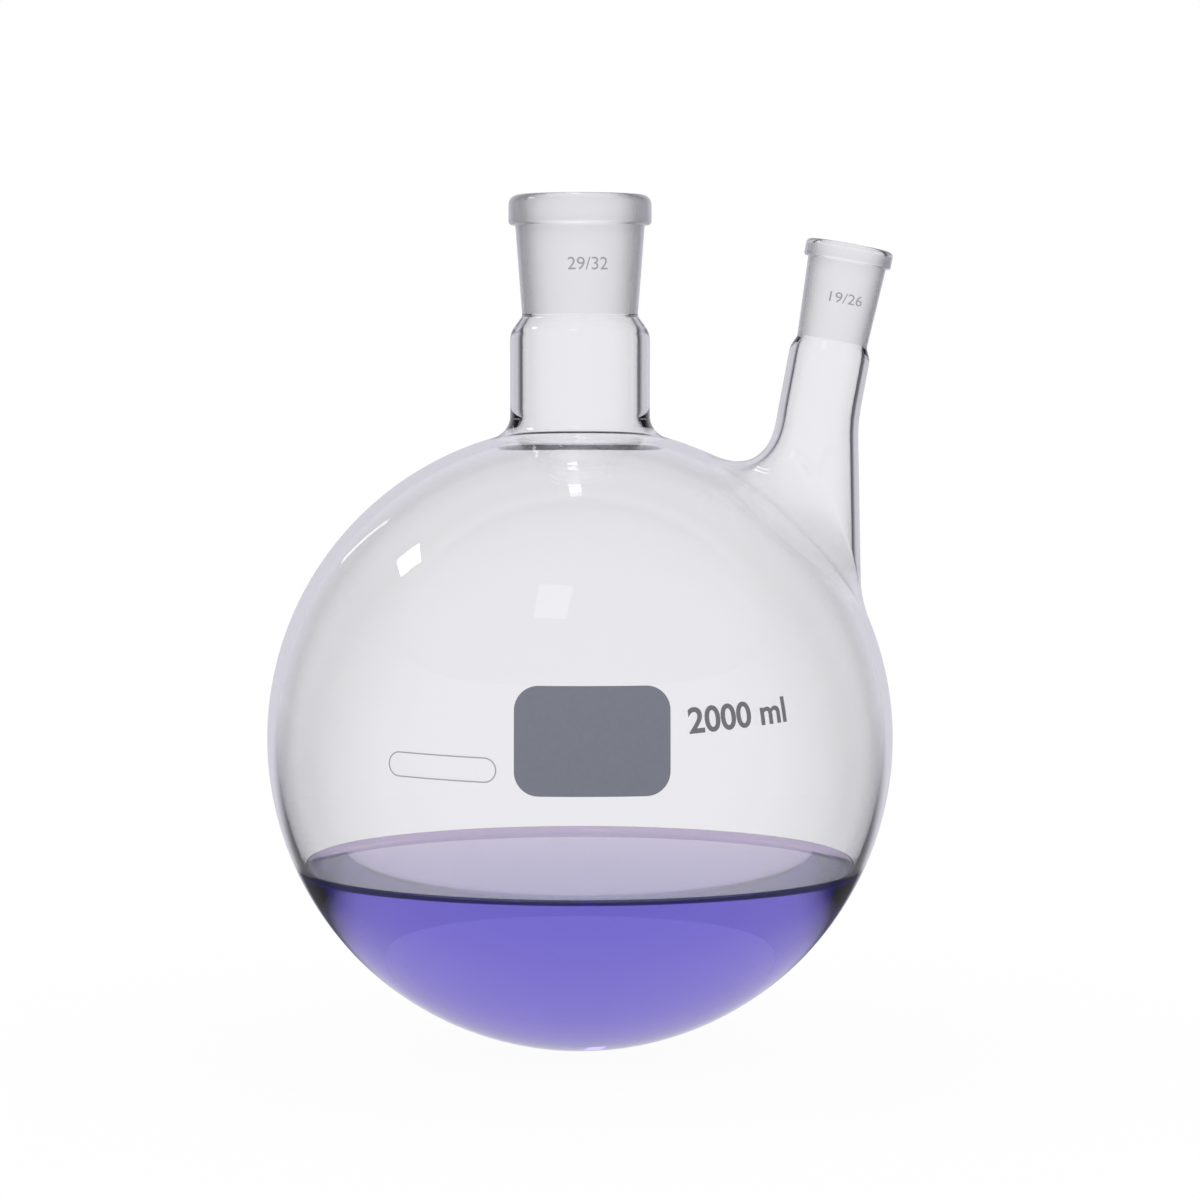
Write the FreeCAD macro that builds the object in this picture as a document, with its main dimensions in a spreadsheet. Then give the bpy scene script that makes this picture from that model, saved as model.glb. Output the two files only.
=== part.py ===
import FreeCAD, Part
import math
import os
import Sketcher
from FreeCAD import Placement, Rotation, Vector

# A round-bottomed two neck flask of two litres, with a little liquid in it.
# The origin is the lowest point of the bulb, on the axis of the centre neck.
# +Z runs up the centre neck, and the slanted side neck leans towards +X.
# Lengths are in millimetres and angles in degrees.

SIZES = [
    ("bulb_diameter", 166.0, "outside of the round bulb"),
    ("bulb_wall", 2.5, "glass of the bulb"),
    ("neck_diameter", 37.0, "outside of the centre neck"),
    ("neck_wall", 3.25, "glass of the centre neck"),
    ("neck_height", 60.8, "top of the round bulb to the rim of the centre socket"),
    ("neck_root_round", 14.0, "outside round where the centre neck grows out of the bulb"),
    ("neck_bore_round", 12.0, "inside round there"),
    ("shoulder_drop", 4.3, "slope from the centre neck in to the foot of its socket"),
    ("shoulder_round", 6.0, "round of that shoulder"),
    ("socket_mouth", 29.2, "wide end of the ground cone in the centre socket"),
    ("socket_length", 32.0, "ground length of the centre socket"),
    ("socket_foot_wall", 2.3, "glass at the foot of the centre socket"),
    ("socket_head_wall", 2.9, "glass below the collar of the centre socket"),
    ("collar_diameter", 37.8, "outside of the centre collar"),
    ("collar_height", 8.0, "height of the centre collar"),
    ("collar_round", 2.6, "upper edge of the centre collar"),
    ("collar_foot_round", 1.1, "lower edge of the centre collar"),
    ("ground_taper", 10.0, "length over which a ground cone narrows by one unit"),
    ("mouth_bevel", 0.6, "inner edge of both rims"),
    ("side_seat_angle", 44.5, "from straight up to where the side neck's axis leaves the bulb"),
    ("side_tilt", 10.5, "lean of the side neck"),
    ("side_neck_height", 72.6, "surface of the bulb to the rim of the side socket, on its axis"),
    ("side_neck_diameter", 21.4, "outside of the side neck"),
    ("side_neck_wall", 2.2, "glass of the side neck"),
    ("side_root_diameter", 27.0, "flared root of the side neck, where its axis leaves the bulb"),
    ("side_root_height", 27.0, "height of the flare above the surface of the bulb"),
    ("side_root_depth", 45.0, "reach of the flare's line below the surface of the bulb"),
    ("side_root_round", 9.0, "outside round where the flared root meets the bulb"),
    ("side_shoulder_drop", 3.0, "slope from the side neck in to the foot of its socket"),
    ("side_shoulder_round", 5.0, "round of that shoulder"),
    ("side_socket_mouth", 18.8, "wide end of the ground cone in the side socket"),
    ("side_socket_length", 26.0, "ground length of the side socket"),
    ("side_socket_wall", 1.25, "glass of the side socket"),
    ("side_collar_diameter", 23.2, "outside of the side collar"),
    ("side_collar_height", 4.6, "height of the side collar"),
    ("side_collar_round", 1.3, "upper edge of the side collar"),
    ("side_collar_foot_round", 0.6, "lower edge of the side collar"),
    ("liquid_depth", 46.0, "deepest part of the liquid"),
    ("liquid_gap", 0.3, "thin film between the liquid and the glass"),
    ("meniscus_height", 1.6, "rise of the liquid at the wall"),
    ("meniscus_width", 3.2, "ring over which the liquid rises"),
    ("field_width", 38.4, "enamel field for pencil notes, across"),
    ("field_height", 27.0, "enamel field, up and down"),
    ("field_corner", 6.0, "corner round of the enamel field"),
    ("field_shift", 3.0, "middle of the enamel field to the right of the axis"),
    ("field_rise", 7.0, "middle of the enamel field above the middle of the bulb"),
    ("field_thickness", 0.15, "enamel on the glass"),
    ("field_gap", 0.02, "enamel to glass"),
]

# The hollow runs this far past each rim, so that the mouths are open.
MOUTH_PASS = 5.0
# Steps of the smooth flare at the root of the side neck.
FLARE_STEPS = 9
# Points of an edge that are tested when an edge is looked for, and how near they must lie.
EDGE_SAMPLES = 8
EDGE_TOLERANCE = 0.01

doc = FreeCAD.newDocument("two_neck_flask")


def make_sheet():
    sheet = doc.addObject("Spreadsheet::Sheet", "Sizes")
    for row, (alias, value, meaning) in enumerate(SIZES, start=1):
        sheet.set(f"A{row}", alias)
        sheet.set(f"B{row}", str(value))
        sheet.set(f"C{row}", meaning)
        sheet.setAlias(f"B{row}", alias)
    doc.recompute()
    return sheet


sheet = make_sheet()


def size(alias):
    return float(sheet.get(alias))


def origin_plane(body, role):
    return next(plane for plane in body.Origin.OriginFeatures if plane.Role == role)


def new_sketch(body, name, role):
    sketch = body.newObject("Sketcher::SketchObject", name)
    sketch.AttachmentSupport = [(origin_plane(body, role), "")]
    sketch.MapMode = "FlatFace"
    return sketch


def bind(sketch, kind, items, name, formula):
    """Adds a constraint whose value follows a formula on the sheet."""
    value = float(sketch.evalExpression(formula))
    index = sketch.addConstraint(Sketcher.Constraint(kind, *items, value))
    sketch.renameConstraint(index, name)
    sketch.setExpression(f"Constraints.{name}", formula)


def revolve(body, name, sketch):
    turned = body.newObject("PartDesign::Revolution", name)
    turned.Profile = sketch
    turned.ReferenceAxis = (sketch, ["V_Axis"])
    turned.Angle = 360
    sketch.Visibility = False
    doc.recompute()
    return turned


def outline(body, name, corners):
    """Draws a closed outline of straight lines in the upright plane through the body's origin. A corner is a
    pair of formulas, across and up, and one whose first formula is 0 lies on the axis."""
    sketch = new_sketch(body, f"{name}_outline", "XZ_Plane")
    places = [[float(sketch.evalExpression(formula)) for formula in corner] for corner in corners]
    points = [Vector(across, up, 0) for across, up in places]
    for start, end in zip(points, points[1:] + points[:1]):
        sketch.addGeometry(Part.LineSegment(start, end))
    for index, (across, up) in enumerate(corners):
        previous = (index - 1) % len(corners)
        sketch.addConstraint(Sketcher.Constraint("Coincident", previous, 2, index, 1))
        if across == "0":
            sketch.addConstraint(Sketcher.Constraint("PointOnObject", index, 1, -2))
        else:
            bind(sketch, "DistanceX", (-1, 1, index, 1), f"across_{index}", across)
        bind(sketch, "DistanceY", (-1, 1, index, 1), f"up_{index}", up)
    return sketch


def turned_outline(body, name, corners):
    """Revolves an outline about the body's Z axis."""
    return revolve(body, name, outline(body, name, corners))


def turned_ball(body, name, radius):
    """Revolves a half disc about its straight side. The middle of the ball is the body's origin."""
    sketch = new_sketch(body, f"{name}_outline", "XZ_Plane")
    size_now = float(sketch.evalExpression(radius))
    quarter = math.pi / 2
    circle = Part.Circle(Vector(0, 0, 0), Vector(0, 0, 1), size_now)
    arc = sketch.addGeometry(Part.ArcOfCircle(circle, -quarter, quarter))
    line = sketch.addGeometry(Part.LineSegment(Vector(0, size_now, 0), Vector(0, -size_now, 0)))
    sketch.addConstraint(Sketcher.Constraint("Coincident", arc, 3, -1, 1))
    sketch.addConstraint(Sketcher.Constraint("Coincident", arc, 2, line, 1))
    sketch.addConstraint(Sketcher.Constraint("Coincident", arc, 1, line, 2))
    sketch.addConstraint(Sketcher.Constraint("PointOnObject", line, 1, -2))
    sketch.addConstraint(Sketcher.Constraint("PointOnObject", line, 2, -2))
    bind(sketch, "Radius", (arc,), "ball_radius", radius)
    return revolve(body, name, sketch)


def flared_root(body, name, tube_radius, growth):
    """Lofts the root of the side neck. It keeps the neck's line on the side of the centre neck, and opens
    by the formula growth, in radius for each unit of length, on the other side."""
    top_level = "Sizes.side_root_height"
    pitch = f"(Sizes.side_root_height + Sizes.side_root_depth) / {FLARE_STEPS}"
    rings = []
    for step in range(-1, FLARE_STEPS + 1):
        fall = f"({step} * {pitch})"
        opening = f"{growth} * {fall}" if step > 0 else "0"
        ring = new_sketch(body, f"{name}_ring_{step + 1}", "XY_Plane")
        ring.setExpression("AttachmentOffset.Base.z", f"{top_level} - {fall}")
        radius = f"{tube_radius} + {opening}"
        start = float(ring.evalExpression(radius))
        shift = float(ring.evalExpression(opening))
        circle = ring.addGeometry(Part.Circle(Vector(shift, 0, 0), Vector(0, 0, 1), start))
        ring.addConstraint(Sketcher.Constraint("PointOnObject", circle, 3, -1))
        bind(ring, "Radius", (circle,), "ring_radius", radius)
        bind(ring, "DistanceX", (-1, 1, circle, 3), "ring_shift", opening)
        ring.Visibility = False
        rings.append(ring)
    doc.recompute()
    root = body.newObject("PartDesign::AdditiveLoft", name)
    root.Profile = rings[0]
    root.Sections = rings[1:]
    root.Ruled = False
    doc.recompute()
    return root


def ring_edges(shape, radius, height):
    """Names the round edges about the Z axis that have this radius and lie at this height."""
    names = []
    for index, edge in enumerate(shape.Edges, start=1):
        if edge.Degenerated or not isinstance(edge.Curve, Part.Circle):
            continue
        curve = edge.Curve
        same_radius = abs(curve.Radius - radius) < EDGE_TOLERANCE
        same_height = abs(curve.Center.z - height) < EDGE_TOLERANCE
        if same_radius and same_height:
            names.append(f"Edge{index}")
    return names


def round_ring(body, name, radius, height, rounding):
    """Rounds the edge at a radius and height, both formulas, by the size that rounding names."""
    base = body.Tip
    at_radius = float(base.evalExpression(radius))
    at_height = float(base.evalExpression(height))
    fillet = body.newObject("PartDesign::Fillet", name)
    fillet.Base = (base, ring_edges(base.Shape, at_radius, at_height))
    fillet.setExpression("Radius", rounding)
    doc.recompute()
    return fillet


# Formulas that several outlines share.
BULB_RADIUS = "Sizes.bulb_diameter / 2"
BULB_HOLLOW = "Sizes.bulb_diameter / 2 - Sizes.bulb_wall"
NECK_RADIUS = "Sizes.neck_diameter / 2"
NECK_BORE = "Sizes.neck_diameter / 2 - Sizes.neck_wall"
RIM = "Sizes.bulb_diameter / 2 + Sizes.neck_height"
SOCKET_FOOT = f"{RIM} - Sizes.socket_length"
SHOULDER = f"{SOCKET_FOOT} - Sizes.shoulder_drop"
CONE_MOUTH = "Sizes.socket_mouth / 2"
CONE_FOOT = "(Sizes.socket_mouth - Sizes.socket_length / Sizes.ground_taper) / 2"
COLLAR_RADIUS = "Sizes.collar_diameter / 2"

SIDE_RADIUS = "Sizes.side_neck_diameter / 2"
SIDE_BORE = "Sizes.side_neck_diameter / 2 - Sizes.side_neck_wall"
SIDE_RIM = "Sizes.side_neck_height"
SIDE_FOOT = "Sizes.side_neck_height - Sizes.side_socket_length"
SIDE_SHOULDER = f"{SIDE_FOOT} - Sizes.side_shoulder_drop"
SIDE_CONE_MOUTH = "Sizes.side_socket_mouth / 2"
SIDE_CONE_FOOT = "(Sizes.side_socket_mouth - Sizes.side_socket_length / Sizes.ground_taper) / 2"
SIDE_COLLAR_RADIUS = "Sizes.side_collar_diameter / 2"
FLARE_TOP = f"Sizes.side_root_height + (Sizes.side_root_height + Sizes.side_root_depth) / {FLARE_STEPS}"
FLARE_GROWTH = "(Sizes.side_root_diameter - Sizes.side_neck_diameter) / 2 / Sizes.side_root_height"


def stand_on_axis(body):
    """The middle of the bulb is half its width up. The seams of the turned faces lie at the back of the
    slanted neck, away from its junction."""
    body.Placement = Placement(Vector(0, 0, 0), Rotation(Vector(0, 0, 1), 180))
    body.setExpression("Placement.Base.z", BULB_RADIUS)


def lean_on_side(body):
    """Puts a body's origin where the side neck's axis leaves the bulb, and its Z along that axis."""
    body.Placement = Placement(Vector(0, 0, 0), Rotation(Vector(0, 1, 0), size("side_tilt")))
    body.setExpression("Placement.Rotation.Angle", "Sizes.side_tilt")
    body.setExpression("Placement.Base.x", f"{BULB_RADIUS} * sin(Sizes.side_seat_angle * 1 deg)")
    body.setExpression("Placement.Base.z", f"{BULB_RADIUS} * (1 + cos(Sizes.side_seat_angle * 1 deg))")


def centre_form():
    """Outside of the bulb, the centre neck, its socket and its collar."""
    body = doc.addObject("PartDesign::Body", "centre_form")
    stand_on_axis(body)
    turned_ball(body, "bulb_ball", BULB_RADIUS)
    collar_foot = f"{RIM} - Sizes.collar_height"
    socket_head = f"{CONE_MOUTH} - Sizes.collar_height / Sizes.ground_taper / 2 + Sizes.socket_head_wall"
    corners = [
        ("0", "0"),
        (NECK_RADIUS, "0"),
        (NECK_RADIUS, SHOULDER),
        (f"{CONE_FOOT} + Sizes.socket_foot_wall", SOCKET_FOOT),
        (socket_head, collar_foot),
        (COLLAR_RADIUS, collar_foot),
        (COLLAR_RADIUS, RIM),
        ("0", RIM),
    ]
    turned_outline(body, "centre_neck", corners)
    root_level = f"sqrt(({BULB_RADIUS})^2 - ({NECK_RADIUS})^2)"
    round_ring(body, "neck_root", NECK_RADIUS, root_level, "Sizes.neck_root_round")
    round_ring(body, "shoulder", NECK_RADIUS, SHOULDER, "Sizes.shoulder_round")
    round_ring(body, "collar_top", COLLAR_RADIUS, RIM, "Sizes.collar_round")
    round_ring(body, "collar_foot", COLLAR_RADIUS, collar_foot, "Sizes.collar_foot_round")
    return body


def centre_hollow():
    """Inside of the bulb and of the centre neck, with the ground cone."""
    body = doc.addObject("PartDesign::Body", "centre_hollow")
    stand_on_axis(body)
    turned_ball(body, "hollow_ball", BULB_HOLLOW)
    mouth = f"{CONE_MOUTH} + Sizes.mouth_bevel"
    corners = [
        ("0", "0"),
        (NECK_BORE, "0"),
        (NECK_BORE, SHOULDER),
        (CONE_FOOT, SOCKET_FOOT),
        (CONE_MOUTH, f"{RIM} - Sizes.mouth_bevel"),
        (mouth, RIM),
        (mouth, f"{RIM} + {MOUTH_PASS}"),
        ("0", f"{RIM} + {MOUTH_PASS}"),
    ]
    turned_outline(body, "centre_bore", corners)
    root_level = f"sqrt(({BULB_HOLLOW})^2 - ({NECK_BORE})^2)"
    round_ring(body, "bore_root", NECK_BORE, root_level, "Sizes.neck_bore_round")
    round_ring(body, "bore_shoulder", NECK_BORE, SHOULDER, "Sizes.shoulder_round / 2")
    return body


def side_form():
    """Outside of the slanted neck, its flared root, its socket and its collar."""
    body = doc.addObject("PartDesign::Body", "side_form")
    lean_on_side(body)
    collar_foot = f"{SIDE_RIM} - Sizes.side_collar_height"
    narrowing = "Sizes.side_collar_height / Sizes.ground_taper / 2"
    corners = [
        ("0", FLARE_TOP),
        (SIDE_RADIUS, FLARE_TOP),
        (SIDE_RADIUS, SIDE_SHOULDER),
        (f"{SIDE_CONE_FOOT} + Sizes.side_socket_wall", SIDE_FOOT),
        (f"{SIDE_CONE_MOUTH} - {narrowing} + Sizes.side_socket_wall", collar_foot),
        (SIDE_COLLAR_RADIUS, collar_foot),
        (SIDE_COLLAR_RADIUS, SIDE_RIM),
        ("0", SIDE_RIM),
    ]
    turned_outline(body, "side_neck", corners)
    round_ring(body, "side_shoulder", SIDE_RADIUS, SIDE_SHOULDER, "Sizes.side_shoulder_round")
    round_ring(body, "side_collar_top", SIDE_COLLAR_RADIUS, SIDE_RIM, "Sizes.side_collar_round")
    round_ring(body, "side_collar_foot", SIDE_COLLAR_RADIUS, collar_foot, "Sizes.side_collar_foot_round")
    flared_root(body, "side_root", SIDE_RADIUS, FLARE_GROWTH)
    return body


def side_hollow():
    """Inside of the slanted neck, with the ground cone."""
    body = doc.addObject("PartDesign::Body", "side_hollow")
    lean_on_side(body)
    mouth = f"{SIDE_CONE_MOUTH} + Sizes.mouth_bevel"
    corners = [
        ("0", FLARE_TOP),
        (SIDE_BORE, FLARE_TOP),
        (SIDE_BORE, SIDE_SHOULDER),
        (SIDE_CONE_FOOT, SIDE_FOOT),
        (SIDE_CONE_MOUTH, f"{SIDE_RIM} - Sizes.mouth_bevel"),
        (mouth, SIDE_RIM),
        (mouth, f"{SIDE_RIM} + {MOUTH_PASS}"),
        ("0", f"{SIDE_RIM} + {MOUTH_PASS}"),
    ]
    turned_outline(body, "side_bore", corners)
    flared_root(body, "side_hollow_root", SIDE_BORE, FLARE_GROWTH)
    return body


def junction_edges(shape, radius):
    """Edges of the slanted neck's root on a ball of this radius about the middle of the bulb."""
    middle = Vector(0, 0, size("bulb_diameter") / 2)
    found = []
    for index, edge in enumerate(shape.Edges, start=1):
        if edge.Degenerated:
            continue
        first, last = edge.ParameterRange
        samples = [first + (last - first) * step / EDGE_SAMPLES for step in range(EDGE_SAMPLES + 1)]
        points = [edge.valueAt(sample) - middle for sample in samples]
        on_ball = all(abs(point.Length - radius) < EDGE_TOLERANCE for point in points)
        beside_centre_neck = all(point.x > size("neck_diameter") / 2 for point in points)
        if on_ball and beside_centre_neck:
            found.append(index)
    return found


def joined(name, centre, side, ball_radius, rounding):
    """Fuses a centre form with a side form, and rounds the line where they meet."""
    fused = doc.addObject("Part::Fuse", f"{name}_fused")
    fused.Base = centre
    fused.Tool = side
    fused.Refine = True
    doc.recompute()
    blended = doc.addObject("Part::Fillet", name)
    blended.Base = fused
    blended.Edges = [(index, rounding, rounding) for index in junction_edges(fused.Shape, ball_radius)]
    doc.recompute()
    return blended


def flask_body():
    """The blown glass, all one piece: bulb, both necks, ground sockets and collars."""
    ball = size("bulb_diameter") / 2
    outside = joined("glass_outside", centre_form(), side_form(), ball, size("side_root_round"))
    inner_round = size("side_root_round") + size("side_neck_wall")
    inside = joined("glass_inside", centre_hollow(), side_hollow(), ball - size("bulb_wall"), inner_round)
    glass = doc.addObject("Part::Cut", "flask_body")
    glass.Base = outside
    glass.Tool = inside
    doc.recompute()
    return glass


def air_sketch(body, ball):
    """Draws what is cut from the ball of liquid: all above its level, with the hollow round of the rise at
    the wall, which leaves the flat level smoothly."""
    sketch = new_sketch(body, "air_outline", "XZ_Plane")
    level = f"Sizes.liquid_depth - ({BULB_HOLLOW})"
    brim_level = f"{level} + Sizes.meniscus_height"
    brim = f"sqrt(({ball})^2 - ({brim_level})^2)"
    names = {"flat": level, "brim_up": brim_level, "brim_out": brim, "top": BULB_RADIUS}
    at = {name: float(sketch.evalExpression(formula)) for name, formula in names.items()}
    rise = size("meniscus_height")
    width = size("meniscus_width")
    round_size = (rise ** 2 + width ** 2) / (2 * rise)
    turn = math.atan2(width, round_size - rise)
    inner = at["brim_out"] - width
    circle = Part.Circle(Vector(inner, at["flat"] + round_size, 0), Vector(0, 0, 1), round_size)
    quarter = math.pi / 2
    corners = [
        Vector(0, at["top"], 0),
        Vector(0, at["flat"], 0),
        Vector(inner, at["flat"], 0),
        Vector(at["brim_out"], at["brim_up"], 0),
        Vector(at["top"], at["brim_up"], 0),
        Vector(at["top"], at["top"], 0),
    ]
    axis_line = sketch.addGeometry(Part.LineSegment(corners[0], corners[1]))
    flat_line = sketch.addGeometry(Part.LineSegment(corners[1], corners[2]))
    rise_arc = sketch.addGeometry(Part.ArcOfCircle(circle, -quarter, turn - quarter))
    brim_line = sketch.addGeometry(Part.LineSegment(corners[3], corners[4]))
    outer_line = sketch.addGeometry(Part.LineSegment(corners[4], corners[5]))
    top_line = sketch.addGeometry(Part.LineSegment(corners[5], corners[0]))
    loop = [axis_line, flat_line, rise_arc, brim_line, outer_line, top_line]
    for line, following in zip(loop, loop[1:] + loop[:1]):
        joint = "Tangent" if (line, following) == (flat_line, rise_arc) else "Coincident"
        sketch.addConstraint(Sketcher.Constraint(joint, line, 2, following, 1))
    for line in (flat_line, brim_line, top_line):
        sketch.addConstraint(Sketcher.Constraint("Horizontal", line))
    sketch.addConstraint(Sketcher.Constraint("PointOnObject", axis_line, 1, -2))
    sketch.addConstraint(Sketcher.Constraint("PointOnObject", axis_line, 2, -2))
    sketch.addConstraint(Sketcher.Constraint("Vertical", outer_line))
    bind(sketch, "DistanceY", (-1, 1, flat_line, 1), "level", level)
    bind(sketch, "DistanceY", (-1, 1, brim_line, 1), "brim_level", brim_level)
    bind(sketch, "DistanceX", (-1, 1, brim_line, 1), "brim", brim)
    bind(sketch, "DistanceX", (-1, 1, flat_line, 2), "flat_end", f"{brim} - Sizes.meniscus_width")
    bind(sketch, "DistanceX", (-1, 1, top_line, 1), "clear_out", BULB_RADIUS)
    bind(sketch, "DistanceY", (-1, 1, top_line, 1), "clear_up", BULB_RADIUS)
    return sketch


def liquid():
    """The liquid at the bottom of the bulb: a round cap that rises a little where it meets the wall."""
    body = doc.addObject("PartDesign::Body", "liquid")
    stand_on_axis(body)
    ball = f"{BULB_HOLLOW} - Sizes.liquid_gap"
    turned_ball(body, "liquid_ball", ball)
    sketch = air_sketch(body, ball)
    air = body.newObject("PartDesign::Groove", "air")
    air.Profile = sketch
    air.ReferenceAxis = (sketch, ["V_Axis"])
    air.Angle = 360
    sketch.Visibility = False
    doc.recompute()
    return body


def enamel_ball(name, lift):
    ball = doc.addObject("Part::Sphere", name)
    ball.setExpression("Radius", f"{BULB_RADIUS} + {lift}")
    ball.setExpression("Placement.Base.z", BULB_RADIUS)
    return ball


def marking_field():
    """A thin rounded field of enamel on the front of the bulb, for notes in pencil."""
    skin = doc.addObject("Part::Cut", "enamel_skin")
    skin.Base = enamel_ball("enamel_outside", "Sizes.field_gap + Sizes.field_thickness")
    skin.Tool = enamel_ball("enamel_inside", "Sizes.field_gap")
    body = doc.addObject("PartDesign::Body", "field_block")
    body.setExpression("Placement.Base.z", BULB_RADIUS)
    left = "Sizes.field_shift - Sizes.field_width / 2"
    right = "Sizes.field_shift + Sizes.field_width / 2"
    low = "Sizes.field_rise - Sizes.field_height / 2"
    high = "Sizes.field_rise + Sizes.field_height / 2"
    sketch = outline(body, "field", [(left, low), (right, low), (right, high), (left, high)])
    block = body.newObject("PartDesign::Pad", "field_pad")
    block.Profile = sketch
    block.setExpression("Length", "Sizes.bulb_diameter")
    sketch.Visibility = False
    doc.recompute()
    upright = [f"Edge{index}" for index, edge in enumerate(block.Shape.Edges, start=1)
               if abs(edge.Length - size("bulb_diameter")) < EDGE_TOLERANCE]
    corner = body.newObject("PartDesign::Fillet", "field_corners")
    corner.Base = (block, upright)
    corner.setExpression("Radius", "Sizes.field_corner")
    doc.recompute()
    field = doc.addObject("Part::Common", "marking_field")
    field.Base = body
    field.Tool = skin
    doc.recompute()
    return field


def failed(obj):
    return "Invalid" in obj.State or "Error" in obj.State


def check_and_export(nodes):
    bad = [obj.Name for obj in doc.Objects if failed(obj)]
    if bad:
        raise RuntimeError(f"failed objects: {bad}")
    for node in nodes:
        shape = node.Shape
        if shape.isNull() or not shape.isValid() or len(shape.Solids) != 1:
            raise RuntimeError(f"{node.Label} is not one valid solid")
    os.makedirs("parts", exist_ok=True)
    for node in nodes:
        node.Shape.exportStep(f"parts/{node.Label}.step")
        print(node.Label, round(node.Shape.Volume, 1), "cubic millimetres")


check_and_export([flask_body(), liquid(), marking_field()])
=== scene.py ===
import math
from collections import Counter

import bmesh
import bpy
from mathutils import Matrix, Vector
from mathutils.geometry import delaunay_2d_cdt
from mathutils.kdtree import KDTree


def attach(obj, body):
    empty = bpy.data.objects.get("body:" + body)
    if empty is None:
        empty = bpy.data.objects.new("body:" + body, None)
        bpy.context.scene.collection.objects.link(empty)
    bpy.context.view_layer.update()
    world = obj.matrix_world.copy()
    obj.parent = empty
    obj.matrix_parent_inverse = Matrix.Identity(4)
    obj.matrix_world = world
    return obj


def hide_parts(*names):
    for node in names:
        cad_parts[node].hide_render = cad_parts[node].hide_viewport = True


# A two neck flask of clear glass with a violet liquid, seen in a white studio.
# The glass is rebuilt here as one smooth skin, with the sizes of the solid. The roots of the two necks are
# rounded in another way: the centre neck's more tightly outside, and the side neck's more softly. Small edges
# are soft too. Shapes are worked out in millimetres from the middle of the bulb, and placed in the frame, in
# metres, when their mesh is made.

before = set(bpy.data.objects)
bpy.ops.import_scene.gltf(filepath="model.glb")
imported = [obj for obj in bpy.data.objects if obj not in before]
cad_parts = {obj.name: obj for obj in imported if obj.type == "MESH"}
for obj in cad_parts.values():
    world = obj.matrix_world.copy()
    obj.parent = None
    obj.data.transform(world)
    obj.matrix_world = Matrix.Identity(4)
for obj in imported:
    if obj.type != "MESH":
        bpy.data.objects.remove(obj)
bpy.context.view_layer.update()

MM = 0.001

# Bulb
BULB = 83.0
BULB_WALL = 2.5
HOLLOW = BULB - BULB_WALL
MIDDLE = Vector((0, 0, BULB))

# A ground cone gets 1 mm narrower on each side over this length.
TAPER = 20

# Centre neck, with radii, and heights from the middle of the bulb
NECK = 18.5
NECK_WALL = 3.25
BORE = NECK - NECK_WALL
NECK_ROUND = 6.0
BORE_ROUND = 12.0
NECK_HEIGHT = 60.8
RIM = BULB + NECK_HEIGHT
SOCKET_LENGTH = 32.0
SOCKET_FOOT = RIM - SOCKET_LENGTH
SHOULDER_DROP = 4.3
SHOULDER = SOCKET_FOOT - SHOULDER_DROP
SHOULDER_ROUND = 6.0
FOOT_ROUND = 2.0
CONE_MOUTH = 29.2 / 2
CONE_FOOT = CONE_MOUTH - SOCKET_LENGTH / TAPER
FOOT_WALL = 2.3
HEAD_WALL = 2.9
COLLAR = 37.8 / 2
COLLAR_HEIGHT = 8.0
COLLAR_FOOT = RIM - COLLAR_HEIGHT
COLLAR_HEAD = CONE_MOUTH - COLLAR_HEIGHT / TAPER + HEAD_WALL
COLLAR_ROUND = 2.6
COLLAR_FOOT_ROUND = 1.1

# Side neck, with radii, and heights along its own axis from the surface of the bulb
SIDE_SEAT = math.radians(44.5)
SIDE_TILT = math.radians(10.5)
SIDE = 21.4 / 2
SIDE_WALL = 2.2
SIDE_BORE = SIDE - SIDE_WALL
SIDE_RIM = 72.6
SIDE_SOCKET_LENGTH = 26.0
SIDE_FOOT = SIDE_RIM - SIDE_SOCKET_LENGTH
SIDE_SHOULDER_DROP = 3.0
SIDE_SHOULDER = SIDE_FOOT - SIDE_SHOULDER_DROP
SIDE_SHOULDER_ROUND = 5.0
SIDE_FOOT_ROUND = 1.5
SIDE_BORE_ROUND = 1.5
SIDE_CONE_MOUTH = 18.8 / 2
SIDE_CONE_FOOT = SIDE_CONE_MOUTH - SIDE_SOCKET_LENGTH / TAPER
SIDE_SOCKET_WALL = 1.25
SIDE_COLLAR = 23.2 / 2
SIDE_COLLAR_HEIGHT = 4.6
SIDE_COLLAR_FOOT = SIDE_RIM - SIDE_COLLAR_HEIGHT
SIDE_COLLAR_HEAD = SIDE_CONE_MOUTH - SIDE_COLLAR_HEIGHT / TAPER + SIDE_SOCKET_WALL
SIDE_COLLAR_ROUND = 1.3
SIDE_COLLAR_FOOT_ROUND = 0.6

# The root of the side neck: a cone that opens downwards, and eases into the straight neck at its top. Where
# it meets the bulb it is rounded by SIDE_ROUND beside the centre neck, and by FAR_ROUND on the far side.
FLARE_TOP = 27.0
FLARE_FOOT = 27.0 / 2
FLARE_GROWTH = (FLARE_FOOT - SIDE) / FLARE_TOP
FLARE_EASE = 4.0
SIDE_ROUND = 9.0
FAR_ROUND = 27.0

# Edges that are left soft by the flame, and the bevel of both mouths
SOFT_EDGE = 0.35
MOUTH_BEVEL = 0.6

# Where a socket is ground: its glass is clear down to LIP_DEPTH below the bevel and ground from GROUND_DEPTH
# on, then ground down to GROUND_END above its foot and clear from CLEAR_END on. The other values say how much
# narrower than its mouth, or wider than its foot, the cone is at these places.
LIP_DEPTH = 1.0
GROUND_DEPTH = 1.4
SIDE_LIP_DEPTH = 0.6
SIDE_GROUND_DEPTH = 0.9
LIP_NARROWER = 0.05
GROUND_NARROWER = 0.07
GROUND_END = 0.6
GROUND_END_WIDER = 0.03
CLEAR_END = 0.3
CLEAR_END_WIDER = 0.01
CONE_FOOT_ROUND = 0.3

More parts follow.
